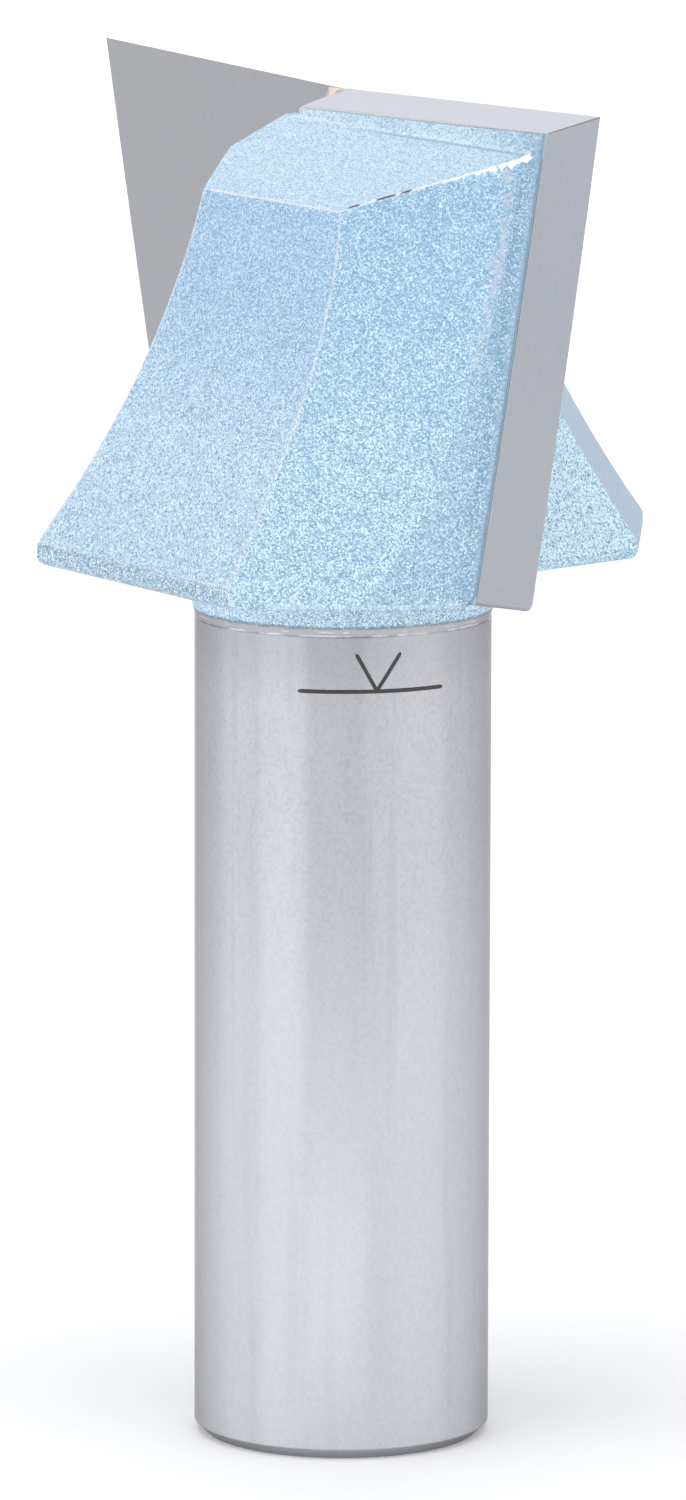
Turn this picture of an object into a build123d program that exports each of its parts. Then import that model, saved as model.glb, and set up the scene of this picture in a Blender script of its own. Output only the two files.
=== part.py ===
from build123d import *
import os
from math import radians, tan, cos, sin, sqrt, atan2, pi

# Two-flute bottom cleaning bit: a steel body with a round shank and two
# winged head halves, and two flat carbide plates brazed into it.
#
# Frame: the origin is the centre of the shank's free end, +Z runs up the
# tool axis to the cutting end, +X points along the first plate's cutting
# edge. The second wing is the first one turned half a turn about Z.

# ---------------------------------------------------------------- sizes, mm
CUT_R = 19.05            # cutting radius (38.1 mm cutting diameter)
CUT_H = 20.27            # height of the side cutting edge
SHANK_R = 6.35           # 12.7 mm shank
LENGTH = 58.65           # shank end to the cutting tips
SHANK_CHAMFER = 0.47

NECK_Z0 = 35.72          # shank starts to widen into the neck
NECK_R1 = 7.08           # neck radius under the skirt
RING_Z = 35.60           # fine turned line at the foot of the neck
RING_D = 0.03            # its depth
FLOOR_Z = 38.42          # underside of the head
EDGE_R = 0.45            # rounding round the underside

SHEAR = 8.68             # lean of the rake faces about X, degrees
DISH = 1.52              # end cutting edges fall towards the axis, degrees
CLEAR = 15.0             # clearance behind both cutting edges, degrees
PLATE_T = 2.15           # carbide thickness
PLATE_FILLET = 0.45      # bottom outer corner of the carbide
RAKE_OFF = 0.14          # rake plane's offset from the axis at the tip plane
BRAZE_T = 0.08           # filler between carbide and steel

PLATE_U0 = 0.15          # inner end of the carbide plates
BEVEL = 0.42             # edge bevel of the steel behind the carbide
CORE_TOP = 57.12         # top of the steel between the plates' inner ends
CORE_U = 0.40            # and how far that step reaches behind the plate
CREASE_Z = 57.20         # where that bevel meets the sloping top facet, at the outside
CREASE_FALL = 0.0065     # fall of that line per mm towards the axis
TOP_SLOPE = 0.4835       # fall of the top facet per mm away from the plate
OUTER_R = 18.10          # turned outside of the wings behind the carbide
HEEL_R = 18.62           # radius at the back edge of the carbide's side
RIM_Z = 39.35            # height where the skirt's flare turns upright
RIM_A = (-2.8, -13.63)   # upright rim of the skirt: two points of its face
RIM_B = (12.2, -13.49)
LOW_Z = 38.0             # the outlines run on to here before the floor is cut
RIDGE_U = 12.2           # ridge between the rear face and the outer relief

# Rear face (concave flare): distance behind the axis at each height
FLARE = [(38.00, 14.35), (39.35, 13.56), (41.0, 12.63), (43.0, 11.58),
         (45.0, 10.63), (47.0, 9.80), (49.0, 9.11), (51.0, 8.57),
         (53.0, 8.21), (55.0, 8.05), (57.0, 8.00), (59.0, 8.00)]
# Rear face's inner edge (towards the gullet): X at each height
EDGE_U = [(38.00, -1.80), (39.35, -2.80), (41.0, -2.17), (43.0, -1.52), (45.0, -0.93),
          (47.0, -0.40), (49.0, 0.08), (51.0, 0.60), (53.0, 1.18),
          (55.0, 1.82), (57.0, 2.50), (59.0, 3.20)]
# Crease between the outer relief and the turned outside: depth at each height
CREASE_W = [(38.00, 9.40), (39.35, 8.50), (41.0, 7.40), (43.0, 6.25), (45.0, 5.50),
            (47.0, 4.90), (49.0, 4.45), (51.0, 4.00), (53.0, 3.60),
            (55.0, 3.32), (57.0, 3.16), (59.0, 3.08)]
# Corner facet's inner edge, where it runs into the gullet wall: depth
CORNER_W = [(39.35, 8.85), (41.0, 8.05), (43.0, 7.20), (45.0, 6.50),
            (47.0, 6.02), (49.0, 5.68), (51.0, 5.44), (53.0, 5.28),
            (55.0, 5.16), (57.0, 5.10), (59.0, 5.08)]

# Gullet wall: one plane through this point with this outward normal
WALL_P = (-0.84, -5.13, 55.92)
WALL_N = (-0.871, -0.145, 0.468)

tg = tan(radians(SHEAR))
cg = cos(radians(SHEAR))


def look(table, z):
    """Straight-line lookup in a height table."""
    if z <= table[0][0]:
        return table[0][1]
    for (z0, v0), (z1, v1) in zip(table, table[1:]):
        if z <= z1:
            return v0 + (v1 - v0) * (z - z0) / (z1 - z0)
    return table[-1][1]


def wall_u(w, z):
    """X of the gullet wall's plane at a depth and height."""
    return WALL_P[0] - (WALL_N[1] * (w - WALL_P[1]) + WALL_N[2] * (z - WALL_P[2])) / WALL_N[0]


def turned(shape):
    """The same thing half a turn on, for the second wing."""
    return shape.rotate(Axis.Z, 180)


def prism(points, x0, x1):
    """Outline in the YZ plane, run along X from x0 to x1."""
    wire = Polyline([Vector(x0, y, z) for y, z in points] + [Vector(x0, *points[0])])
    return extrude(make_face(wire), amount=x1 - x0, dir=(1, 0, 0))


# ------------------------------------------------------------- one wing's loft
def w_rake(z):
    """Depth of the first plate's rake face at height z."""
    return RAKE_OFF - (LENGTH - z) * tg


def section(z):
    """Outline of one wing of the head at height z, as corner points."""
    w_rear = -look(FLARE, z)
    w_seat = w_rake(z) - (PLATE_T + BRAZE_T) / cg
    w_in = w_seat - BEVEL
    u_out = sqrt((HEEL_R - 0.03) ** 2 - w_seat ** 2)
    u_in = sqrt(OUTER_R ** 2 - w_in ** 2)
    w_cr = -look(CREASE_W, z)
    u_cr = sqrt(OUTER_R ** 2 - w_cr ** 2)
    u_edge = look(EDGE_U, z)
    w_q = -look(CORNER_W, z)
    u_q = wall_u(w_q, z)
    # the corner facet runs on past the wall, which is cut afterwards
    k = 3.0 / sqrt((u_q - u_edge) ** 2 + (w_q - w_rear) ** 2)
    u_x = u_q + (u_q - u_edge) * k
    w_x = w_q + (w_q - w_rear) * k
    return [(u_out + 1.0, w_seat + 1.0), (u_out, w_seat), (u_in, w_in),
            (u_cr, w_cr), (RIDGE_U, w_rear), (u_edge, w_rear), (u_x, w_x),
            (u_x - 1.0, 12.0), (u_out + 1.0, 12.0)]


def ring_wire(points, z, arc=None):
    """Closed outline at height z; side number arc is an arc of the turned outside."""
    pts = [Vector(u, w, z) for u, w in points]
    edges = []
    for n, (a, b) in enumerate(zip(pts, pts[1:] + pts[:1])):
        if n == arc:
            m = (a + b) * 0.5
            k = OUTER_R / sqrt(m.X ** 2 + m.Y ** 2)
            edges.append(Edge.make_three_point_arc(a, Vector(m.X * k, m.Y * k, z), b))
        else:
            edges.append(Edge.make_line(a, b))
    return Wire(edges)


zs = [RIM_Z, 41.0, 43.0, 45.0, 47.0, 49.0, 51.0, 53.0, 55.0, 57.0, 59.0]
upper = Solid.make_loft([ring_wire(section(z), z, 2) for z in zs], ruled=False)
lower = Solid.make_loft([ring_wire(section(z), z, 2) for z in (LOW_Z, RIM_Z)], ruled=True)
wing = Part() + upper + lower

# upright rim and flat underside
rim_x = Vector(RIM_B[0] - RIM_A[0], RIM_B[1] - RIM_A[1], 0).normalized()
rim_face = Plane(origin=(RIM_A[0], RIM_A[1], 30), x_dir=rim_x, z_dir=rim_x.cross(Vector(0, 0, 1)))
wing -= rim_face * Box(80, 80, 20, align=(Align.CENTER, Align.CENTER, Align.MIN))
wing -= Pos(0, 0, FLOOR_Z) * Box(80, 80, 5, align=(Align.CENTER, Align.CENTER, Align.MAX))

# gullet wall
wall = Plane(origin=WALL_P, z_dir=WALL_N)
wing -= wall * Box(120, 120, 60, align=(Align.CENTER, Align.CENTER, Align.MIN))

# seat for the plate on the +X side, and the gullet in front of the other
# plate's rake face on the -X side
seat_u = PLATE_U0 - BRAZE_T
z_lo, z_hi = 30.0, 66.0
w_seat = lambda z: w_rake(z) - (PLATE_T + BRAZE_T) / cg
wing -= prism([(w_seat(z_lo), z_lo), (w_seat(z_hi), z_hi), (60, z_hi), (60, z_lo)], seat_u, 60)
wing -= prism([(-w_rake(z_lo), z_lo), (-w_rake(z_hi), z_hi), (60, z_hi), (60, z_lo)], -60, seat_u)

# top: sloping facet, with a steep bevel along the carbide
def heel_z(u):
    """Height of the carbide's end face at its back edge."""
    return LENGTH - (CUT_R - u) * tan(radians(DISH)) - PLATE_T / cg * tan(radians(CLEAR))


def top_profile(u):
    w0 = w_seat(58.0)
    w1 = w0 - BEVEL
    z1 = CREASE_Z - CREASE_FALL * (18.0 - u)
    pts = [(w0 + 14, heel_z(u) - 0.03), (w0, heel_z(u) - 0.03), (w1, z1),
           (-40.0, z1 - TOP_SLOPE * (40.0 + w1)), (-40.0, 80.0), (w0 + 14, 80.0)]
    pts = [Vector(u, w, z) for w, z in pts]
    return Polyline(pts + [pts[0]]).wire()


wing -= Solid.make_loft([top_profile(-14.0), top_profile(26.0)], ruled=True)
wing -= Pos(CORE_U, 0, CORE_TOP) * Box(20, 2 * (BEVEL - w_seat(58.0)), 20, align=(Align.MAX, Align.CENTER, Align.MIN))

# rounded edge round the underside
low = [e for e in wing.edges() if abs(e.center().Z - FLOOR_Z) < 0.01
       and e.length > 1 and e.center().Y < -2 and Vector(e.center().X, e.center().Y, 0).length > 10.5]
wing = fillet(low, EDGE_R)

# the foot of the edge bevel behind the carbide is taken off at 45 degrees
toe = Vector(cos(radians(-17.1)), sin(radians(-17.1)), 0)
toe_face = Plane(origin=toe * (OUTER_R - 0.2) + Vector(0, 0, FLOOR_Z), z_dir=toe - Vector(0, 0, 1))
wing -= toe_face * Box(8, 8, 4, align=(Align.CENTER, Align.CENTER, Align.MIN))

# the two halves of the head and the shank are one piece of steel
profile = [(0, 0), (SHANK_R - SHANK_CHAMFER, 0), (SHANK_R, SHANK_CHAMFER),
           (SHANK_R, RING_Z - 0.06), (SHANK_R - RING_D, RING_Z), (SHANK_R, RING_Z + 0.06),
           (SHANK_R, NECK_Z0), (NECK_R1, FLOOR_Z), (NECK_R1, FLOOR_Z + 0.1), (0, FLOOR_Z + 0.1)]
outline_rz = Polyline([Vector(r, 0, z) for r, z in profile] + [Vector(0, 0, 0)])
shank = revolve(make_face(outline_rz), axis=Axis.Z, revolution_arc=360)
steel = wing + turned(wing) + shank

# ------------------------------------------------------------ carbide plates
def plate_outline(z):
    wr = w_rake(z)
    wb = wr - PLATE_T / cg
    return [(PLATE_U0, wr), (sqrt(CUT_R ** 2 - wr ** 2), wr),
            (sqrt(HEEL_R ** 2 - wb ** 2), wb), (PLATE_U0, wb)]


foot = LENGTH - CUT_H
pz = [foot - 1, foot + 5, foot + 10, foot + 15, LENGTH, LENGTH + 2]
plate = Part() + Solid.make_loft([ring_wire(plate_outline(z), z) for z in pz], ruled=False)

# square bottom end
foot_plane = Plane(origin=(0, w_rake(foot), foot), x_dir=(1, 0, 0), z_dir=(0, -sin(radians(SHEAR)), -cg))
foot_cut = foot_plane * Box(120, 120, 30, align=(Align.CENTER, Align.CENTER, Align.MIN))
plate -= foot_cut

# ground end face: through the end cutting edge, falling away behind it
d, c = radians(DISH), radians(CLEAR)
along = Vector(cos(d), 0, sin(d))
down = Vector(0, -cos(c), -sin(c))
end_n = along.cross(down).normalized()
if end_n.Z < 0:
    end_n = end_n * -1
end_plane = Plane(origin=(CUT_R, RAKE_OFF, LENGTH), z_dir=end_n)
end_cut = end_plane * Box(120, 120, 30, align=(Align.CENTER, Align.CENTER, Align.MIN))
plate -= end_cut
corner = [e for e in plate.edges() if e.center().Z < foot + 0.5 and e.center().X > 17 and e.length > 1]
plate = fillet(corner[:1], PLATE_FILLET)

# ----------------------------------------------------------------- brazing
def braze_outline(z):
    wr = w_rake(z)
    wb = wr - PLATE_T / cg
    wf = wr - (PLATE_T + BRAZE_T) / cg
    ub = sqrt((HEEL_R - 0.06) ** 2 - wb ** 2)
    uf = sqrt((HEEL_R - 0.06) ** 2 - wf ** 2)
    return [(seat_u, wr - 0.02), (PLATE_U0, wr - 0.02), (PLATE_U0, wb), (ub, wb),
            (uf, wf), (seat_u, wf)]


bz = [foot - 1, foot + 5, foot + 10, foot + 15, LENGTH, LENGTH + 2]
braze = Part() + Solid.make_loft([ring_wire(braze_outline(z), z) for z in bz], ruled=False)
braze -= Pos(0, 0, -0.05) * end_cut
braze -= Pos(0, 0, 0.06) * foot_cut


def bead_outline(z, reach, depth):
    """Bead of filler in the corner by the other plate's rake face."""
    wr = -w_rake(z)
    u0, w0 = seat_u + 0.02, min(wr, -0.005)
    return [(u0, w0), (-0.10, w0), (-0.11, wr), (-reach, wr),
            (-0.45 * reach, wr - 0.42 * (depth + wr)), (u0, -depth)]


bead = Solid.make_loft([ring_wire(bead_outline(*b), b[0]) for b in
                        ((CORE_TOP, 1.75, 1.35), (57.65, 1.5, 0.95), (58.10, 1.12, 0.40))], ruled=True)
braze += bead

steel = steel - plate - turned(plate) - braze - turned(braze)

# ------------------------------------------------------------------- output
parts = {
    "steel_body": steel,
    "carbide_plate_1": plate,
    "carbide_plate_2": turned(plate),
    "braze_joint_1": braze,
    "braze_joint_2": turned(braze),
}
os.makedirs("parts", exist_ok=True)
for name, shape in parts.items():
    solids = shape.solids()
    print(name, "solids", len(solids), "volume", round(sum(s.volume for s in solids), 2),
          "box", shape.bounding_box().min, shape.bounding_box().max)
    export_step(solids[0] if len(solids) == 1 else shape, "parts/" + name + ".step")
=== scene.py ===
import bpy
import bmesh
from math import radians, degrees, sin, cos, tan, pi, sqrt, atan2
from mathutils import Matrix, Vector


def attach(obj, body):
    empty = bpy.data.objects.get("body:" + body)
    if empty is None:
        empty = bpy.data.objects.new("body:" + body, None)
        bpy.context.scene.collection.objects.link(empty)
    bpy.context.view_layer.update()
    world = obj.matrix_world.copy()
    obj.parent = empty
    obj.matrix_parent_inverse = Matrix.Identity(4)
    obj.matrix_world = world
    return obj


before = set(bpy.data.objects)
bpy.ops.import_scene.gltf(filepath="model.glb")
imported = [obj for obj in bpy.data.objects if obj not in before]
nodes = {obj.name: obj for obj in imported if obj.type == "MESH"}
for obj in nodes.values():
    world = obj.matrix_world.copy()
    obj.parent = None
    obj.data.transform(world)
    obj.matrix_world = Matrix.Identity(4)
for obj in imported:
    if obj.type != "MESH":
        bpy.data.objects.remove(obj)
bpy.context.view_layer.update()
scene = bpy.context.scene
scene.view_settings.view_transform = "Standard"
scene.view_settings.look = "None"

# ------------------------------------------------------------------ camera
a, e, r = radians(57.1474), radians(9.6555), radians(0.1439)
dist, side, pivot = 0.4438656, 0.0000107, 0.0296897
back = Vector((sin(a) * cos(e), -cos(a) * cos(e), sin(e)))
right = Vector((cos(a), sin(a), 0))
up = back.cross(right)
cam_x = right * cos(r) + up * sin(r)
cam_y = up * cos(r) - right * sin(r)
cam_data = bpy.data.cameras.new("camera")
cam_data.sensor_width = 36
cam_data.sensor_fit = "AUTO"
cam_data.lens = 248.82
cam_data.clip_start = 0.01
cam_data.clip_end = 50
cam = bpy.data.objects.new("camera", cam_data)
scene.collection.objects.link(cam)
place = Vector((0, 0, pivot)) + back * dist + right * side
m = Matrix((cam_x, cam_y, back)).transposed().to_4x4()
m.translation = place
cam.matrix_world = m
scene.camera = cam

# ------------------------------------------------------------- light, floor
WORLD = 0.40
world = bpy.data.worlds.new("studio")
scene.world = world
world.use_nodes = True
wn = world.node_tree.nodes["Background"]
wn.inputs["Color"].default_value = (1.0, 1.0, 1.0, 1)
wn.inputs["Strength"].default_value = WORLD


def lamp(name, azimuth, elevation, distance, size, power, height=None, colour=(1, 1, 1), aim=0.035):
    """Square or upright soft light that looks at a point on the tool's axis."""
    data = bpy.data.lights.new(name, "AREA")
    data.shape = "RECTANGLE"
    data.size = size
    data.size_y = height or size
    data.energy = power
    data.color = colour
    o = bpy.data.objects.new(name, data)
    scene.collection.objects.link(o)
    o.visible_camera = False
    az, el = radians(azimuth), radians(elevation)
    d = Vector((sin(az) * cos(el), -cos(az) * cos(el), sin(el)))
    o.matrix_world = Matrix.Translation(Vector((0, 0, aim)) + d * distance) @ d.to_track_quat("Z", "Y").to_matrix().to_4x4()
    return o


lamp("softbox_top", 40, 80, 3.5, 3.0, 64.3, height=3.0, colour=(1.0, 1.0, 1.035))
lamp("softbox_front", 50, 12, 0.7, 0.35, 0.22, height=0.5)
lamp("softbox_left", 9, 15, 0.7, 0.52, 1.44, height=0.6)
lamp("softbox_far_left", -33, 15, 0.7, 0.42, 0.82, height=0.6)
lamp("softbox_near_right", 87, 15, 0.7, 0.35, 0.51, height=0.6, colour=(0.97, 1.0, 1.05))
lamp("softbox_right", 122, 15, 0.7, 0.56, 1.08, height=0.6)
lamp("softbox_far_right", 157, 15, 0.7, 0.30, 0.20, height=0.6)
lamp("softbox_back", -123, 20, 0.7, 0.8, 1.4, height=0.6)

lamp("card_low", 54, -6.5, 0.036, 0.027, 0.00045, height=0.0032, aim=0.0058)

floor_mesh = bpy.data.meshes.new("floor")
bm = bmesh.new()
n = 24
grid = [[bm.verts.new(((i / n - 0.5) * 12, (j / n - 0.5) * 12, 0)) for j in range(n + 1)] for i in range(n + 1)]
for i in range(n):
    for j in range(n):
        bm.faces.new((grid[i][j], grid[i + 1][j], grid[i + 1][j + 1], grid[i][j + 1]))
bm.to_mesh(floor_mesh)
bm.free()
floor = bpy.data.objects.new("floor", floor_mesh)
scene.collection.objects.link(floor)


# ------------------------------------------------------------ node helpers
class Tree:
    """A material's node tree, built with plain calls."""

    def __init__(self, name):
        self.mat = bpy.data.materials.new(name)
        self.mat.use_nodes = True
        self.t = self.mat.node_tree
        self.t.nodes.clear()
        self.out = self.t.nodes.new("ShaderNodeOutputMaterial")
        self.bsdf = self.t.nodes.new("ShaderNodeBsdfPrincipled")
        self.t.links.new(self.bsdf.outputs[0], self.out.inputs["Surface"])
        self.tc = self.t.nodes.new("ShaderNodeTexCoord")
        self.mm = self.v("SCALE", self.tc.outputs["Object"], scale=1000.0)

    def put(self, socket, value):
        if isinstance(value, bpy.types.NodeSocket):
            self.t.links.new(value, socket)
        elif value is not None:
            if hasattr(socket.default_value, "__len__") and not hasattr(value, "__len__"):
                value = [value] * len(socket.default_value)
            socket.default_value = value

    def m(self, op, a, b=None, c=None, clamp=False):
        n = self.t.nodes.new("ShaderNodeMath")
        n.operation = op
        n.use_clamp = clamp
        for s, x in zip(n.inputs, (a, b, c)):
            self.put(s, x)
        return n.outputs[0]

    def v(self, op, a, b=None, c=None, scale=None):
        n = self.t.nodes.new("ShaderNodeVectorMath")
        n.operation = op
        self.put(n.inputs[0], a)
        self.put(n.inputs[1], b)
        if c is not None:
            self.put(n.inputs[2], c)
        if scale is not None:
            self.put(n.inputs["Scale"], scale)
        return n.outputs["Value"] if op in ("LENGTH", "DOT_PRODUCT", "DISTANCE") else n.outputs[0]

    def xyz(self, v):
        n = self.t.nodes.new("ShaderNodeSeparateXYZ")
        self.put(n.inputs[0], v)
        return n.outputs[0], n.outputs[1], n.outputs[2]

    def vec(self, x, y, z):
        n = self.t.nodes.new("ShaderNodeCombineXYZ")
        for s, k in zip(n.inputs, (x, y, z)):
            self.put(s, k)
        return n.outputs[0]

    def step(self, x, lo, hi, a=0.0, b=1.0):
        """Smooth change from a to b as x goes from lo to hi."""
        n = self.t.nodes.new("ShaderNodeMapRange")
        n.interpolation_type = "SMOOTHSTEP"
        if hi < lo:
            lo, hi, a, b = hi, lo, b, a
        for s, k in zip(n.inputs, (x, lo, hi, a, b)):
            self.put(s, k)
        return n.outputs[0]

    def mix(self, f, a, b, mode="MIX"):
        n = self.t.nodes.new("ShaderNodeMix")
        n.data_type = "RGBA"
        n.blend_type = mode
        n.clamp_factor = True
        rgba = lambda c: c if isinstance(c, bpy.types.NodeSocket) else (tuple(c) + (1.0,) if len(c) == 3 else tuple(c))
        self.put(n.inputs[0], f)
        self.put(n.inputs[6], rgba(a))
        self.put(n.inputs[7], rgba(b))
        return n.outputs[2]

    def mixf(self, f, a, b):
        n = self.t.nodes.new("ShaderNodeMix")
        n.data_type = "FLOAT"
        self.put(n.inputs[0], f)
        self.put(n.inputs[2], a)
        self.put(n.inputs[3], b)
        return n.outputs[0]

    def noise(self, v, scale, detail=2.0, rough=0.5, distortion=0.0):
        n = self.t.nodes.new("ShaderNodeTexNoise")
        self.put(n.inputs["Vector"], v)
        self.put(n.inputs["Scale"], scale)
        self.put(n.inputs["Detail"], detail)
        self.put(n.inputs["Roughness"], rough)
        self.put(n.inputs["Distortion"], distortion)
        return n.outputs["Fac"]

    def cells(self, v, scale, feature="F1", out="Color"):
        n = self.t.nodes.new("ShaderNodeTexVoronoi")
        n.feature = feature
        self.put(n.inputs["Vector"], v)
        self.put(n.inputs["Scale"], scale)
        return n.outputs[out]

    def grey(self, c):
        n = self.t.nodes.new("ShaderNodeSeparateColor")
        self.put(n.inputs[0], c)
        return n.outputs[0], n.outputs[1], n.outputs[2]

    def table(self, x, pairs):
        """Straight-line lookup of x in pairs, through a colour ramp."""
        xs, ys = [p[0] for p in pairs], [p[1] for p in pairs]
        lo, hi, y0, y1 = xs[0], xs[-1], min(ys), max(ys)
        t = self.m("DIVIDE", self.m("SUBTRACT", x, lo), hi - lo, clamp=True)
        n = self.t.nodes.new("ShaderNodeValToRGB")
        n.color_ramp.interpolation = "LINEAR"
        el = n.color_ramp.elements
        el[0].position, el[1].position = 0.0, 1.0
        for p in xs[1:-1]:
            el.new((p - lo) / (hi - lo))
        for s, y in zip(sorted(el, key=lambda s: s.position), ys):
            k = (y - y0) / (y1 - y0)
            s.color = (k, k, k, 1)
        self.put(n.inputs[0], t)
        return self.m("MULTIPLY_ADD", self.grey(n.outputs[0])[0], y1 - y0, y0)

    def seg(self, p, a, b):
        """Distance from p to the straight line from a to b, and how far along it."""
        a, b = Vector(a), Vector(b)
        d = b - a
        rel = self.v("SUBTRACT", p, tuple(a))
        t = self.m("DIVIDE", self.v("DOT_PRODUCT", rel, tuple(d)), d.length_squared, clamp=True)
        near = self.v("SCALE", tuple(d), scale=t)
        return self.v("LENGTH", self.v("SUBTRACT", rel, near)), t

    def bump(self, height, distance, strength=1.0, normal=None):
        n = self.t.nodes.new("ShaderNodeBump")
        self.put(n.inputs["Height"], height)
        self.put(n.inputs["Distance"], distance)
        self.put(n.inputs["Strength"], strength)
        if normal is not None:
            self.put(n.inputs["Normal"], normal)
        return n.outputs[0]

    def soft_edge(self, radius):
        n = self.t.nodes.new("ShaderNodeBevel")
        n.samples = 4
        self.put(n.inputs["Radius"], radius)
        return n.outputs[0]


# ------------------------------------------------------------------- floor
f = Tree("floor_paper")
f.bsdf.inputs["Roughness"].default_value = 0.9
f.bsdf.inputs["Specular IOR Level"].default_value = 0.1
g = f.noise(f.mm, 0.02, 3.0)
f.put(f.bsdf.inputs["Base Color"], f.mix(g, (0.955, 0.955, 0.958), (0.97, 0.97, 0.97)))
f.put(f.bsdf.inputs["Emission Color"], (1, 1, 1, 1))
f.bsdf.inputs["Emission Strength"].default_value = 0.06
floor.data.materials.append(f.mat)

# ------------------------------------------------- the steel body's geometry
LENGTH, CUT_R, RAKE_OFF, SHEAR, PLATE_T = 58.65, 19.05, 0.14, 8.68, 2.15
PAINT_Z = 35.95
tg, cg = tan(radians(SHEAR)), cos(radians(SHEAR))
FLARE = [(38.00, 14.35), (39.35, 13.56), (41.0, 12.63), (43.0, 11.58), (45.0, 10.63), (47.0, 9.80),
         (49.0, 9.11), (51.0, 8.57), (53.0, 8.21), (55.0, 8.05), (57.0, 8.00)]
CREASE_W = [(38.00, 9.40), (39.35, 8.50), (41.0, 7.40), (43.0, 6.25), (45.0, 5.50), (47.0, 4.90),
            (49.0, 4.45), (51.0, 4.00), (53.0, 3.60), (55.0, 3.32), (57.0, 3.16)]
EDGE_U = [(38.00, -1.80), (39.35, -2.80), (41.0, -2.17), (43.0, -1.52), (45.0, -0.93), (47.0, -0.40),
          (49.0, 0.08), (51.0, 0.60), (53.0, 1.18), (55.0, 1.82), (57.0, 2.50)]

FLAKE_ROUGH, FLAKE_CALM, FLAKE_TOP = 1.02, 0.93, 0.98

s = Tree("steel_body_paint_and_ground_shank")
P = s.mm
px, py, pz = s.xyz(P)
# both wings are handled as one: the second is the first turned half a turn
sign = s.m("SUBTRACT", 1.0, s.m("MULTIPLY", s.m("GREATER_THAN", py, 0.0), 2.0))
u, w = s.m("MULTIPLY", px, sign), s.m("MULTIPLY", py, sign)
Q = s.vec(u, w, pz)
geo = s.t.nodes.new("ShaderNodeNewGeometry")
N = geo.outputs["Normal"]
nx, ny, nz = s.xyz(N)
nu, nw = s.m("MULTIPLY", nx, sign), s.m("MULTIPLY", ny, sign)
rad = s.m("SQRT", s.m("ADD", s.m("MULTIPLY", px, px), s.m("MULTIPLY", py, py)))
ang = s.m("ARCTAN2", py, px)
arc = s.m("MULTIPLY", ang, 6.35)
inv = lambda x: s.m("SUBTRACT", 1.0, x)

# --- where things are
rear = s.step(nw, -0.95, -0.80, 1.0, 0.0)                  # rear flare
top = s.step(nz, 0.55, 0.75)                               # sloping top facet
calm = s.m("MAXIMUM", rear, top)
w_seat = s.m("SUBTRACT", s.m("MULTIPLY_ADD", s.m("SUBTRACT", pz, LENGTH), tg, RAKE_OFF), (PLATE_T + 0.08) / cg)
behind = s.m("MULTIPLY", s.m("SUBTRACT", w_seat, w), cg)   # distance behind the carbide
on_head = s.m("GREATER_THAN", pz, 38.40)
near = s.m("MULTIPLY", s.m("MULTIPLY", s.step(behind, 0.48, 0.42), s.step(u, -0.2, 0.2)), on_head)
side_face = s.step(nz, 0.5, 0.3)
bevel_side = s.m("MULTIPLY", near, side_face)                # bevel behind the carbide's side
side_band = s.m("MULTIPLY", bevel_side, s.step(behind, 0.21, 0.12))
top_band = s.m("MULTIPLY", near, inv(side_face))             # and behind its end
wall_n = s.v("DOT_PRODUCT", s.vec(nu, nw, nz), (-0.871, -0.145, 0.468))
wall = s.step(wall_n, 0.93, 0.98)                          # gullet wall
w_rim = s.m("MULTIPLY_ADD", u, 0.0093, -13.60)
rim = s.m("MULTIPLY", s.m("MULTIPLY", s.m("LESS_THAN", s.m("SUBTRACT", w, w_rim), 0.46), s.m("LESS_THAN", pz, 39.36)), s.m("LESS_THAN", u, 12.15))
w_cr = s.m("SUBTRACT", s.m("MULTIPLY", s.table(pz, CREASE_W), -1.0), 0.25)
outside = s.m("MULTIPLY", s.m("GREATER_THAN", rad, 17.70), s.step(s.m("SUBTRACT", w, w_cr), -0.06, 0.06))   # turned outside
corner_n = s.v("DOT_PRODUCT", s.vec(nu, nw, nz), (-0.53, -0.71, 0.47))
corner = s.m("MULTIPLY", s.step(corner_n, 0.925, 0.945), s.m("GREATER_THAN", pz, 38.9))   # smooth facet at the inner rear corner

# --- edges, found from the rounding's own normal
round_n = s.soft_edge(0.00007)
bend = s.m("SUBTRACT", 1.0, s.v("DOT_PRODUCT", round_n, N))
edge = s.m("MULTIPLY", s.step(bend, 0.006, 0.05), s.m("GREATER_THAN", pz, PAINT_Z + 0.3))

# --- flake: one random shade and lean for each small cell, in two sizes
fine = s.cells(P, 20.0)
coarse = s.cells(s.v("ADD", P, (3.1, 1.7, 0.4)), 16.5)
fr, fg_, fb = s.grey(fine)
cr_, cg_, cb = s.grey(coarse)
flake = s.mixf(calm, s.m("MULTIPLY_ADD", cr_, 0.72, s.m("MULTIPLY", fr, 0.28)), s.m("MULTIPLY_ADD", cr_, 0.15, s.m("MULTIPLY", fr, 0.85)))
flake = s.m("SUBTRACT", flake, 0.5)
amp = s.mixf(calm, FLAKE_ROUGH, FLAKE_CALM)
amp = s.m("MULTIPLY", amp, s.step(pz, 43.0, 54.0, 1.0, 0.80))
amp = s.m("MULTIPLY", amp, s.m("MULTIPLY_ADD", s.step(pz, 50.0, 41.0), s.mixf(rear, 0.08, 0.30), 1.0))
amp = s.mixf(top, amp, FLAKE_TOP)
amp = s.m("MULTIPLY", amp, s.mixf(side_band, 1.0, 0.60))
amp = s.m("MULTIPLY", amp, s.mixf(corner, 1.0, 0.26))
amp = s.m("MULTIPLY", amp, s.mixf(wall, 1.0, 1.08))
amp = s.m("MULTIPLY", amp, s.mixf(outside, 1.0, 0.80))
amp = s.m("MULTIPLY", amp, s.mixf(top_band, 1.0, 1.15))
lean = s.v("SUBTRACT", coarse, (0.5, 0.5, 0.5))
lean = s.v("SCALE", lean, scale=s.m("MULTIPLY", amp, 0.45))

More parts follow.
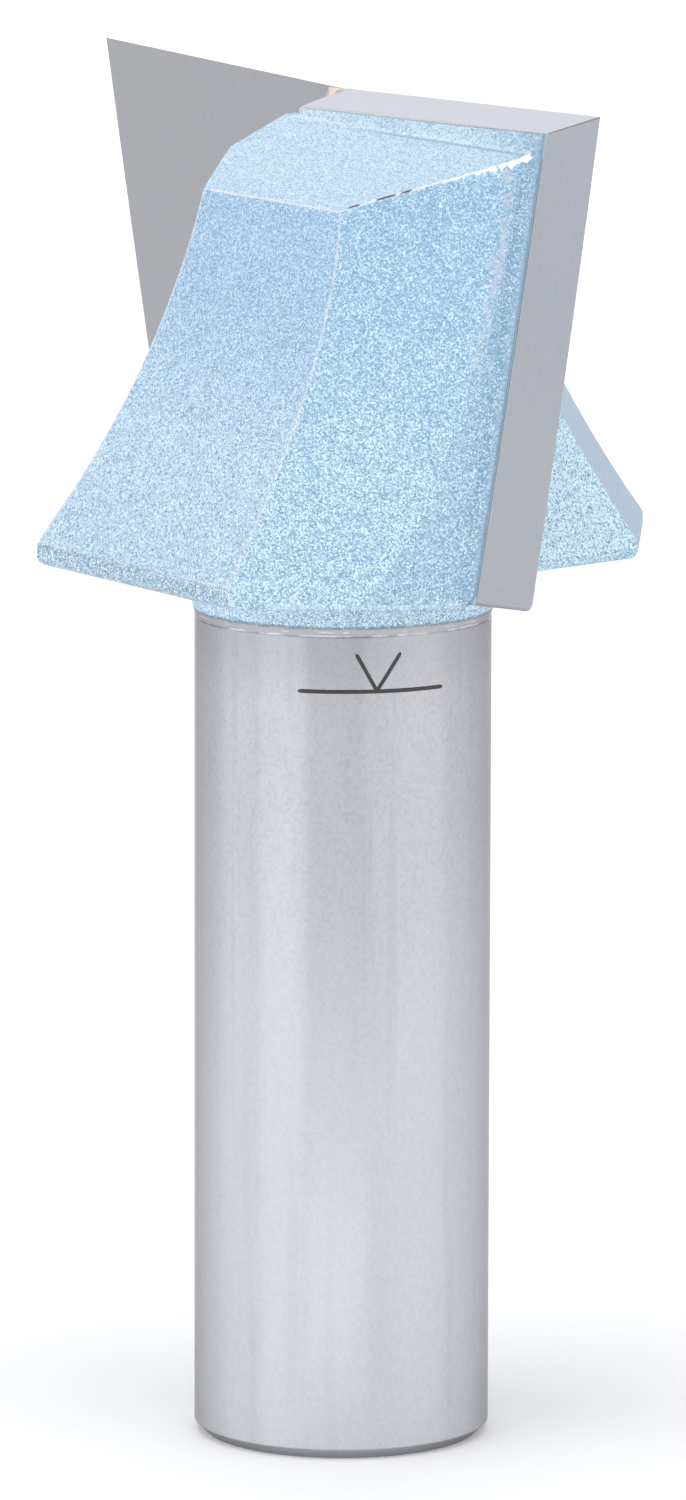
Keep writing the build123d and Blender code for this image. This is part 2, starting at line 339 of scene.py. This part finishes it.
# --- base colour of the paint, with painted shade making it darker and bluer towards the top and painted light making it paler further down, most of both on the rear flare
cloud = s.noise(P, 0.35, 3.0)
paint = s.mix(cloud, (0.438, 0.640, 0.825), (0.475, 0.675, 0.858))
tall = s.m("MULTIPLY", s.m("MULTIPLY", s.step(pz, 41.0, 55.0), inv(top)), s.mixf(rear, 1.0, 1.25))
paint = s.mix(s.m("MULTIPLY", tall, 0.60), paint, (0.255, 0.445, 0.665))
low = s.m("MULTIPLY", s.step(pz, 50.0, 39.5), s.mixf(rear, 0.32, 1.0))
paint = s.mix(s.m("MULTIPLY", low, s.mixf(rear, 0.62, 0.80)), paint, (0.66, 0.87, 1.0))
# painted shade: the rear flare is darkened more towards the top
paint = s.mix(s.m("MULTIPLY", rear, s.step(pz, 42.0, 52.0, 0.10, 0.30)), paint, (0.38, 0.54, 0.81))
paint = s.mix(s.m("MULTIPLY", top, 0.52), paint, (0.66, 0.88, 1.0))
plain = s.m("MULTIPLY", s.m("MULTIPLY", inv(rear), inv(top)), inv(wall))
paint = s.mix(s.m("MULTIPLY", plain, 0.36), paint, (0.23, 0.395, 0.53))
paint = s.mix(s.m("MULTIPLY", outside, 0.46), paint, (0.25, 0.41, 0.57))
paint = s.mix(s.m("MULTIPLY", wall, 0.58), paint, (0.68, 0.93, 1.0))
paint = s.mix(s.m("MULTIPLY", bevel_side, 0.66), paint, (0.20, 0.34, 0.46))
paint = s.mix(s.m("MULTIPLY", rim, 0.95), paint, (0.285, 0.425, 0.585))
# painted light: the neck under the head is lightened and greyed, in place of the shade the head casts on it
paint = s.mix(s.m("MULTIPLY", s.m("LESS_THAN", pz, 38.40), 0.56), paint, (0.455, 0.615, 0.715))
paint = s.mix(s.m("MULTIPLY", side_band, 0.62), paint, (0.30, 0.44, 0.57))
paint = s.mix(s.m("MULTIPLY", s.m("MULTIPLY", top_band, s.noise(P, 1.8, 4.0, 0.7)), s.step(u, 12.0, 17.0, 1.5, 0.7)), paint, (0.66, 0.86, 1.0))
end_band = s.m("MULTIPLY", top_band, s.step(u, 15.5, 18.0))
paint = s.mix(s.m("MULTIPLY", end_band, 0.45), paint, (0.30, 0.46, 0.62))
facet = s.mix(s.step(pz, 42.5, 48.0), (0.400, 0.510, 0.640), (0.470, 0.580, 0.700))
paint = s.mix(s.m("MULTIPLY", corner, 0.90), paint, facet)
# flake speckle in the colour: partly the paint's own flake, partly painted glints; the pale flakes stand in for
# sparkle, and their strength on each facet follows how it faces the light
light_flake = s.m("MULTIPLY", s.m("MAXIMUM", flake, 0.0), amp)
dark_flake = s.m("MULTIPLY", s.m("MAXIMUM", s.m("MULTIPLY", flake, -1.0), 0.0), amp)
paint = s.mix(s.m("MULTIPLY", light_flake, 2.2, clamp=True), paint, (0.83, 0.98, 1.0))
paint = s.mix(s.m("MULTIPLY", dark_flake, 1.85, clamp=True), paint, s.mix(s.m("MAXIMUM", s.m("MAXIMUM", top, s.m("MULTIPLY", wall, 0.60)), s.m("MULTIPLY", s.m("MULTIPLY", rear, inv(rim)), s.step(pz, 50.0, 40.5))), (0.12, 0.25, 0.41), (0.15, 0.29, 0.63)))

# --- worn edges
worn = s.noise(P, 2.6, 4.0, 0.65)
worn2 = s.noise(s.v("ADD", P, (9.0, 4.0, 2.0)), 7.5, 3.0, 0.6)

rag = s.noise(s.v("ADD", P, (2.0, 8.0, 5.0)), 6.0, 5.0, 0.75)


def z_top(uu, ww):
    """Height of the sloping top facet."""
    w1 = RAKE_OFF - (LENGTH - 58.0) * tg - (PLATE_T + 0.08) / cg - 0.42
    return 57.20 - 0.0065 * (18.0 - uu) - 0.4835 * (w1 - ww)


# every edge: a thin broken pale line with a trace of bare metal
pale = s.m("MULTIPLY", edge, s.step(s.m("MULTIPLY_ADD", worn2, 0.5, s.m("MULTIPLY", worn, 0.5)), 0.40, 0.56))
paint = s.mix(s.m("MULTIPLY", pale, 0.50), paint, (0.80, 0.78, 0.82))
W_CREASE = RAKE_OFF - (LENGTH - 58.0) * tg - (PLATE_T + 0.08) / cg - 0.42
d_ab, t_ab = s.seg(Q, (2.2, -8.03, z_top(2.2, -8.03)), (11.94, -8.03, z_top(11.94, -8.03)))
on_ab = s.m("MULTIPLY", s.step(s.m("MULTIPLY_ADD", s.m("SUBTRACT", rag, 0.5), 0.30, d_ab), 0.085, 0.04), s.m("MULTIPLY_ADD", worn2, 1.9, -0.30), clamp=True)
paint = s.mix(s.m("MULTIPLY", on_ab, 0.85), paint, (0.97, 0.88, 0.87))
w_fl = s.m("MULTIPLY", s.table(pz, FLARE), -1.0)
d_bc = s.m("ADD", s.m("ABSOLUTE", s.m("SUBTRACT", u, 12.2)), s.m("ABSOLUTE", s.m("SUBTRACT", w, w_fl)))
bc_on = s.m("MULTIPLY", s.step(s.m("MULTIPLY_ADD", s.m("SUBTRACT", rag, 0.5), 0.30, d_bc), 0.14, 0.05), s.m("MULTIPLY_ADD", worn2, 1.8, -0.40), clamp=True)
paint = s.mix(s.m("MULTIPLY", bc_on, 0.55), paint, (0.93, 0.88, 0.90))
d_rt = s.m("ADD", s.m("ABSOLUTE", s.m("SUBTRACT", pz, 39.35)), s.m("ABSOLUTE", s.m("SUBTRACT", w, w_rim)))
rt_on = s.m("MULTIPLY", s.step(d_rt, 0.14, 0.04), s.m("MULTIPLY_ADD", worn2, 1.4, 0.0), clamp=True)
paint = s.mix(s.m("MULTIPLY", rt_on, 0.26), paint, (0.54, 0.50, 0.55))
d_sil = s.m("ADD", s.m("ABSOLUTE", s.m("SUBTRACT", u, s.table(pz, EDGE_U))), s.m("ABSOLUTE", s.m("SUBTRACT", w, w_fl)))
sil_on = s.m("MULTIPLY", s.m("MULTIPLY", s.step(d_sil, 0.20, 0.05), s.m("MULTIPLY_ADD", worn2, 1.6, -0.25), clamp=True), s.m("GREATER_THAN", pz, 39.3))
paint = s.mix(s.m("MULTIPLY", sil_on, 0.65), paint, (0.93, 0.90, 0.93))
# the short crease behind the top facet, scraped to bare metal towards its outer end
ac0 = (11.94, -7.95, z_top(11.94, -7.95))
ac1 = (17.95, -3.16, z_top(17.95, -3.16))
d_ac, t_ac = s.seg(Q, ac0, ac1)
lumps = s.noise(s.v("ADD", P, (5.0, 1.0, 7.0)), 3.4, 3.0, 0.6)
thin = s.step(s.m("MULTIPLY_ADD", s.m("SUBTRACT", rag, 0.5), 0.42, s.m("MULTIPLY_ADD", s.m("SUBTRACT", lumps, 0.5), 0.25, d_ac)), 0.115, 0.075)
blob = s.m("MULTIPLY", s.step(s.m("MULTIPLY_ADD", s.m("SUBTRACT", lumps, 0.5), 0.9, s.m("MULTIPLY_ADD", s.m("SUBTRACT", rag, 0.5), 0.7, d_ac)), 0.17, 0.12), s.step(t_ac, 0.80, 0.93))
d_ad, t_ad = s.seg(Q, ac1, (18.01, -2.80, z_top(18.01, -2.80) - 0.05))
scraped = s.step(s.m("MULTIPLY_ADD", s.m("SUBTRACT", lumps, 0.5), 0.6, s.m("MULTIPLY_ADD", s.m("SUBTRACT", rag, 0.5), 0.8, d_ad)), 0.22, 0.14)
on_ac = s.m("MAXIMUM", thin, blob)
on_ac = s.m("MAXIMUM", s.m("MULTIPLY", on_ac, s.step(t_ac, 0.10, 0.22)), scraped)
t_r = s.m("MULTIPLY_ADD", s.m("SUBTRACT", rag, 0.5), 0.10, t_ac)
dark = s.m("MAXIMUM", s.step(s.m("ABSOLUTE", s.m("SUBTRACT", t_r, 0.265)), 0.060, 0.045), s.step(s.m("ABSOLUTE", s.m("SUBTRACT", t_r, 0.375)), 0.035, 0.02))
dark = s.m("MAXIMUM", dark, s.step(s.m("ABSOLUTE", s.m("SUBTRACT", t_r, 0.08)), 0.04, 0.02))
chip = s.m("MULTIPLY", s.step(s.m("MULTIPLY_ADD", s.m("SUBTRACT", rag, 0.5), 0.25, d_ac), 0.120, 0.085), dark)
# patches rubbed thin along the crease on the turned outside
d_cd = s.m("ADD", s.m("ABSOLUTE", s.m("SUBTRACT", w, w_cr)), s.m("ABSOLUTE", s.m("SUBTRACT", rad, 18.00)))
cd_on = s.m("MULTIPLY", s.step(s.m("MULTIPLY_ADD", s.m("SUBTRACT", worn, 0.5), 1.6, d_cd), 0.26, 0.06), s.step(pz, 46.5, 52.0))
paint = s.mix(s.m("MULTIPLY", cd_on, s.m("MULTIPLY_ADD", worn2, 1.15, -0.14)), paint, (0.62, 0.60, 0.70))
# painted highlight: a pale line over the bevel's crease behind the carbide, and a painted shadow line just below it;
# also the pale rubbed foot of the skirt
zt = s.m("SUBTRACT", pz, s.m("MULTIPLY_ADD", u, 0.0065, 57.083))
past = s.m("SUBTRACT", W_CREASE, w)
high = s.m("MULTIPLY", s.step(nz, 0.30, 0.45), s.m("GREATER_THAN", zt, -0.4))
crease_highlight = s.m("MULTIPLY", s.m("MULTIPLY", s.step(s.m("ABSOLUTE", s.m("ADD", past, 0.02)), 0.075, 0.02), high), s.step(worn2, 0.38, 0.58))
paint = s.mix(s.m("MULTIPLY", crease_highlight, 0.55), paint, (0.82, 0.93, 1.0))
# painted shadow: a dark line just below that crease, where the top facet meets the bevel
under = s.m("MULTIPLY", s.m("MULTIPLY", s.step(s.m("ABSOLUTE", s.m("SUBTRACT", past, 0.15)), 0.11, 0.04), high), s.step(u, 4.0, 8.0))
paint = s.mix(s.m("MULTIPLY", under, 0.55), paint, (0.22, 0.38, 0.58))
foot_on = s.m("MULTIPLY", s.m("MULTIPLY", s.step(s.m("ABSOLUTE", s.m("SUBTRACT", pz, 38.66)), 0.16, 0.05), s.m("GREATER_THAN", u, 13.2)), s.step(worn, 0.35, 0.50))
paint = s.mix(s.m("MULTIPLY", foot_on, 0.26), paint, (0.80, 0.88, 0.94))
# painted shade: a dark line where the neck meets the head's underside
root = s.m("MULTIPLY", s.m("MULTIPLY", s.step(s.m("ABSOLUTE", s.m("SUBTRACT", pz, 38.43)), 0.07, 0.02), s.m("LESS_THAN", rad, 7.6)), s.m("MULTIPLY_ADD", worn2, 1.4, -0.1), clamp=True)
paint = s.mix(s.m("MULTIPLY", root, 0.45), paint, (0.20, 0.30, 0.38))
paint = s.mix(on_ac, paint, (0.96, 0.97, 0.99))
paint = s.mix(chip, paint, (0.13, 0.10, 0.11))
# the thin dark line where paint stops at the carbide
pit = s.t.nodes.new("ShaderNodeTexVoronoi")
s.put(pit.inputs["Vector"], P)
s.put(pit.inputs["Scale"], 0.42)
pit_on = s.m("MULTIPLY", s.m("MULTIPLY", s.step(pit.outputs["Distance"], 0.030, 0.018), s.m("GREATER_THAN", s.grey(pit.outputs["Color"])[0], 0.60)), on_head)
paint = s.mix(s.m("MULTIPLY", pit_on, 0.75), paint, (0.20, 0.20, 0.26))
lip = s.m("MULTIPLY", s.m("MULTIPLY", s.step(behind, 0.10, 0.02), s.m("MULTIPLY", s.m("MULTIPLY", s.step(u, 0.0, 0.2), side_face), on_head)), 0.45)
paint = s.mix(lip, paint, (0.18, 0.30, 0.42))

# --- ground steel of the shank
turn = s.noise(s.vec(s.m("MULTIPLY", ang, 1.2), 0.0, s.m("MULTIPLY", pz, 9.0)), 2.0, 3.0, 0.6)
blot = s.noise(s.vec(arc, 0.0, s.m("MULTIPLY", pz, 0.22)), 0.55, 3.0, 0.55)
mottle = s.noise(s.vec(arc, 5.0, s.m("MULTIPLY", pz, 0.9)), 6.5, 4.0, 0.75)
streak = s.noise(s.vec(arc, 9.0, s.m("MULTIPLY", pz, 0.03)), 1.6, 2.0, 0.5)
steel = s.mix(blot, (0.448, 0.456, 0.485), (0.532, 0.536, 0.566))
steel = s.mix(s.m("MULTIPLY", turn, 0.12), steel, (0.56, 0.56, 0.57))
steel = s.mix(s.m("MULTIPLY", s.step(mottle, 0.42, 0.72), 0.36), steel, (0.62, 0.62, 0.63))
steel = s.mix(s.m("MULTIPLY", s.step(mottle, 0.52, 0.28), 0.30), steel, (0.28, 0.285, 0.30))
steel = s.mix(s.m("MULTIPLY", s.step(streak, 0.60, 0.72), 0.22), steel, (0.36, 0.36, 0.37))
# painted light: the shank's base colour is lightened towards the bottom
steel = s.mix(s.m("MULTIPLY", s.step(pz, 32.0, 14.0), 0.36), steel, (0.67, 0.68, 0.72))
# painted shade: the top of the shank, just under the head, is darkened
steel = s.mix(s.m("MULTIPLY", s.step(pz, 32.2, 35.2), 0.36), steel, (0.345, 0.35, 0.375))
end_face = s.step(pz, 0.46, 0.40)
steel = s.mix(s.m("MULTIPLY", end_face, 0.32), steel, (0.16, 0.165, 0.17))

# --- the ragged foot of the paint
ragged = s.noise(s.vec(arc, 3.0, 0.0), 1.3, 4.0, 0.6)
edge_z = s.m("MULTIPLY_ADD", s.m("SUBTRACT", ragged, 0.5), 0.20, PAINT_Z)
above = s.m("SUBTRACT", pz, edge_z)
painted = s.step(above, -0.02, 0.02)
seam = s.m("MULTIPLY", s.step(s.m("ABSOLUTE", s.m("SUBTRACT", above, 0.01)), 0.105, 0.025), s.m("MULTIPLY_ADD", worn2, 1.9, -0.25), clamp=True)

colour = s.mix(painted, steel, paint)
colour = s.mix(s.m("MULTIPLY", seam, 0.85), colour, (0.13, 0.19, 0.23))
gaps = s.step(s.noise(s.vec(arc, 0.0, 0.0), 0.55, 2.0), 0.46, 0.54)
scratch = s.m("MULTIPLY", s.step(s.m("ABSOLUTE", s.m("SUBTRACT", pz, s.m("MULTIPLY_ADD", ragged, 0.08, 35.56))), 0.055, 0.015), gaps)
gaps2 = s.step(s.noise(s.vec(arc, 7.0, 0.0), 0.75, 2.0), 0.52, 0.60)
scratch2 = s.m("MULTIPLY", s.step(s.m("ABSOLUTE", s.m("SUBTRACT", pz, s.m("MULTIPLY_ADD", ragged, 0.06, 35.74))), 0.04, 0.01), gaps2)
colour = s.mix(s.m("MULTIPLY", s.m("MAXIMUM", scratch, s.m("MULTIPLY", scratch2, 0.7)), 0.85), colour, (0.90, 0.84, 0.83))
s.put(s.bsdf.inputs["Base Color"], colour)
bare = s.m("MAXIMUM", s.m("MULTIPLY", on_ac, 0.5), 0.30)
s.put(s.bsdf.inputs["Metallic"], s.mixf(painted, 0.85, bare))
rough = s.mixf(painted, s.m("MULTIPLY_ADD", mottle, 0.10, 0.27), s.m("MULTIPLY_ADD", fr, 0.12, 0.40))
s.put(s.bsdf.inputs["Roughness"], rough)
# grinding marks run round the shank, so its gloss spreads up and down
s.put(s.bsdf.inputs["Anisotropic"], s.m("MULTIPLY", inv(painted), 0.75))
s.bsdf.inputs["Anisotropic Rotation"].default_value = 0.25
around = s.t.nodes.new("ShaderNodeTangent")
around.direction_type = "RADIAL"
around.axis = "Z"
s.put(s.bsdf.inputs["Tangent"], around.outputs[0])
s.bsdf.inputs["Specular IOR Level"].default_value = 0.4
s.bsdf.inputs["Specular Tint"].default_value = (0.50, 0.50, 0.51, 1)
tilted = s.v("NORMALIZE", s.v("ADD", round_n, s.v("SCALE", lean, scale=painted)))
h_paint = s.m("MULTIPLY", s.m("MULTIPLY", flake, 0.006), painted)
h_steel = s.m("MULTIPLY", s.m("ADD", s.m("MULTIPLY", turn, 0.0004), s.m("MULTIPLY", mottle, 0.0005)), inv(painted))
height = s.m("ADD", h_paint, h_steel)
s.put(s.bsdf.inputs["Normal"], s.bump(height, 0.001, 0.6, tilted))

# ----------------------------------------------------------- ground carbide
c = Tree("ground_carbide")
cx, cy, cz = c.xyz(c.mm)
csign = c.m("SUBTRACT", 1.0, c.m("MULTIPLY", c.m("LESS_THAN", cx, 0.0), 2.0))
cu, cw = c.m("MULTIPLY", cx, csign), c.m("MULTIPLY", cy, csign)
cgeo = c.t.nodes.new("ShaderNodeNewGeometry")
gx, gy, gz = c.xyz(cgeo.outputs["Normal"])
gu, gw = c.m("MULTIPLY", gx, csign), c.m("MULTIPLY", gy, csign)
end_f = c.step(gz, 0.6, 0.8)
side_f = c.step(gu, 0.6, 0.8)
lines_v = c.noise(c.vec(c.m("MULTIPLY", cw, 9.0), c.m("MULTIPLY", cu, 9.0), c.m("MULTIPLY", cz, 0.12)), 1.6, 3.0, 0.6)
lines_h = c.noise(c.vec(c.m("MULTIPLY", cu, 0.12), c.m("MULTIPLY", cw, 9.0), c.m("MULTIPLY", cz, 9.0)), 1.6, 3.0, 0.6)
patch = c.noise(c.mm, 0.5, 3.0)
grain = c.mixf(side_f, lines_h, lines_v)
col = c.mix(grain, (0.322, 0.335, 0.367), (0.364, 0.380, 0.413))
col = c.mix(c.m("MULTIPLY", patch, 0.3), col, (0.425, 0.435, 0.465))
# painted light: the end face, which faces up, is lightened as if lit from above
col = c.mix(c.m("MULTIPLY", end_f, 0.65), col, (0.595, 0.615, 0.695))
rake_f = c.step(gw, 0.6, 0.8)
col = c.mix(c.m("MULTIPLY", rake_f, 0.55), col, (0.330, 0.333, 0.342))
col = c.mix(c.m("MULTIPLY", c.m("MULTIPLY", side_f, c.step(cz, 52.0, 41.0)), 0.30), col, (0.45, 0.463, 0.49))
# painted light: the top of the back face is painted near white
back_f = c.m("MULTIPLY", c.step(gw, -0.55, -0.75), c.m("GREATER_THAN", cz, 57.0))
col = c.mix(c.m("MULTIPLY", back_f, 0.85), col, (0.86, 0.90, 0.95))
c_round = c.soft_edge(0.00004)
c_bend = c.m("SUBTRACT", 1.0, c.v("DOT_PRODUCT", c_round, cgeo.outputs["Normal"]))
speck = c.noise(c.mm, 9.0, 3.0, 0.6)
c_edge = c.m("MULTIPLY", c.step(c_bend, 0.01, 0.08), c.m("MULTIPLY_ADD", speck, 0.6, 0.1))
col = c.mix(c.m("MULTIPLY", c.step(speck, 0.45, 0.75), 0.16), col, (0.50, 0.50, 0.52))
col = c.mix(c.m("MULTIPLY", c.step(speck, 0.45, 0.25), 0.16), col, (0.24, 0.245, 0.26))
col = c.mix(c_edge, col, (0.80, 0.80, 0.80))
CQ = c.vec(cu, cw, cz)
d_tip, t_tip = c.seg(CQ, (19.05, 0.14, 58.65), (18.50, -2.03, 58.06))
col = c.mix(c.m("MULTIPLY", c.step(d_tip, 0.075, 0.02), 0.75), col, (0.16, 0.12, 0.10))
c.put(c.bsdf.inputs["Base Color"], col)
c.bsdf.inputs["Metallic"].default_value = 0.8
c.put(c.bsdf.inputs["Roughness"], c.m("MULTIPLY_ADD", grain, 0.10, 0.32))
c.put(c.bsdf.inputs["Normal"], c.bump(c.m("MULTIPLY", grain, 0.002), 0.001, 0.6, c_round))

# ------------------------------------------------------------ brazing filler
b = Tree("brazing_filler")
bx, by, bz = b.xyz(b.mm)
lump = b.noise(b.mm, 3.5, 4.0, 0.6)
filler = b.mix(lump, (0.88, 0.68, 0.56), (1.0, 0.90, 0.80))
silver = b.mix(lump, (0.56, 0.56, 0.60), (0.72, 0.71, 0.76))
off = b.m("ABSOLUTE", bx)
bead = b.m("MULTIPLY", b.step(off, 1.15, 0.75), b.step(bz, 57.55, 57.80))
filler = b.mix(bead, silver, filler)
coat = b.mix(lump, (0.30, 0.43, 0.55), (0.42, 0.58, 0.72))
filler = b.mix(b.m("MULTIPLY", b.step(off, 1.8, 2.4), 1.0), filler, coat)
b.put(b.bsdf.inputs["Base Color"], filler)
b.put(b.bsdf.inputs["Metallic"], b.step(off, 2.4, 1.8, 0.1, 0.5))
b.put(b.bsdf.inputs["Roughness"], b.m("MULTIPLY_ADD", lump, 0.3, 0.35))
b.put(b.bsdf.inputs["Normal"], b.bump(lump, 0.0002, 0.5))

# ------------------------------------------------- the mark for the least grip
R_SHANK = 6.35


def stroke(bm, a0, z0, a1, z1, width, steps):
    """Thin closed strip on the shank from one azimuth and height to another, in degrees and mm."""
    p0, p1 = Vector((radians(a0) * R_SHANK, z0)), Vector((radians(a1) * R_SHANK, z1))
    d = (p1 - p0).normalized()
    side = Vector((-d.y, d.x)) * width / 2
    rows = []
    for i in range(steps + 1):
        p = p0.lerp(p1, i / steps)
        end = 0.55 if i in (0, steps) else 1.0
        row = []
        for k in (-1, -0.5, 0.5, 1):
            q = p + side * (k * end)
            th = q.x / R_SHANK
            lift = 0.004 if abs(k) < 1 else 0.001
            for rr in (R_SHANK + lift, R_SHANK - 0.05):
                row.append(bm.verts.new((rr * cos(th) / 1000, rr * sin(th) / 1000, q.y / 1000)))
        rows.append(row)
    for p, q in zip(rows, rows[1:]):
        for k in range(3):
            bm.faces.new((p[2 * k], p[2 * k + 2], q[2 * k + 2], q[2 * k]))
            bm.faces.new((p[2 * k + 1], q[2 * k + 1], q[2 * k + 3], p[2 * k + 3]))
        bm.faces.new((p[0], q[0], q[1], p[1]))
        bm.faces.new((p[6], p[7], q[7], q[6]))
    for row in (rows[0], rows[-1]):
        bm.faces.new((row[0], row[1], row[3], row[2]))
        bm.faces.new((row[2], row[3], row[5], row[4]))
        bm.faces.new((row[4], row[5], row[7], row[6]))


bm = bmesh.new()
stroke(bm, -50.2, 33.25, 8.5, 33.25, 0.172, 60)
stroke(bm, -27.8, 34.86, -19.9, 33.29, 0.165, 16)
stroke(bm, -10.3, 34.86, -19.7, 33.29, 0.165, 16)
bmesh.ops.recalc_face_normals(bm, faces=bm.faces)
mark_mesh = bpy.data.meshes.new("depth_mark")
bm.to_mesh(mark_mesh)
bm.free()
for p in mark_mesh.polygons:
    p.use_smooth = True
mark = bpy.data.objects.new("depth_mark", mark_mesh)
scene.collection.objects.link(mark)
k = Tree("burnt_mark")
soot = k.noise(k.mm, 7.0, 3.0, 0.6)
k.put(k.bsdf.inputs["Base Color"], k.mix(soot, (0.026, 0.024, 0.026), (0.085, 0.076, 0.074)))
k.bsdf.inputs["Metallic"].default_value = 0.2
k.put(k.bsdf.inputs["Roughness"], k.m("MULTIPLY_ADD", soot, 0.2, 0.5))
k.put(k.bsdf.inputs["Normal"], k.bump(soot, 0.00002, 0.5))
mark.data.materials.append(k.mat)
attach(mark, "root")

# -------------------------------------------------------------- assignments
for name, mat in (("steel_body", s.mat), ("carbide_plate_1", c.mat), ("carbide_plate_2", c.mat),
                  ("braze_joint_1", b.mat), ("braze_joint_2", b.mat)):
    o = nodes[name]
    if not o.material_slots:
        o.data.materials.append(mat)
    for sl in o.material_slots:
        sl.material = mat
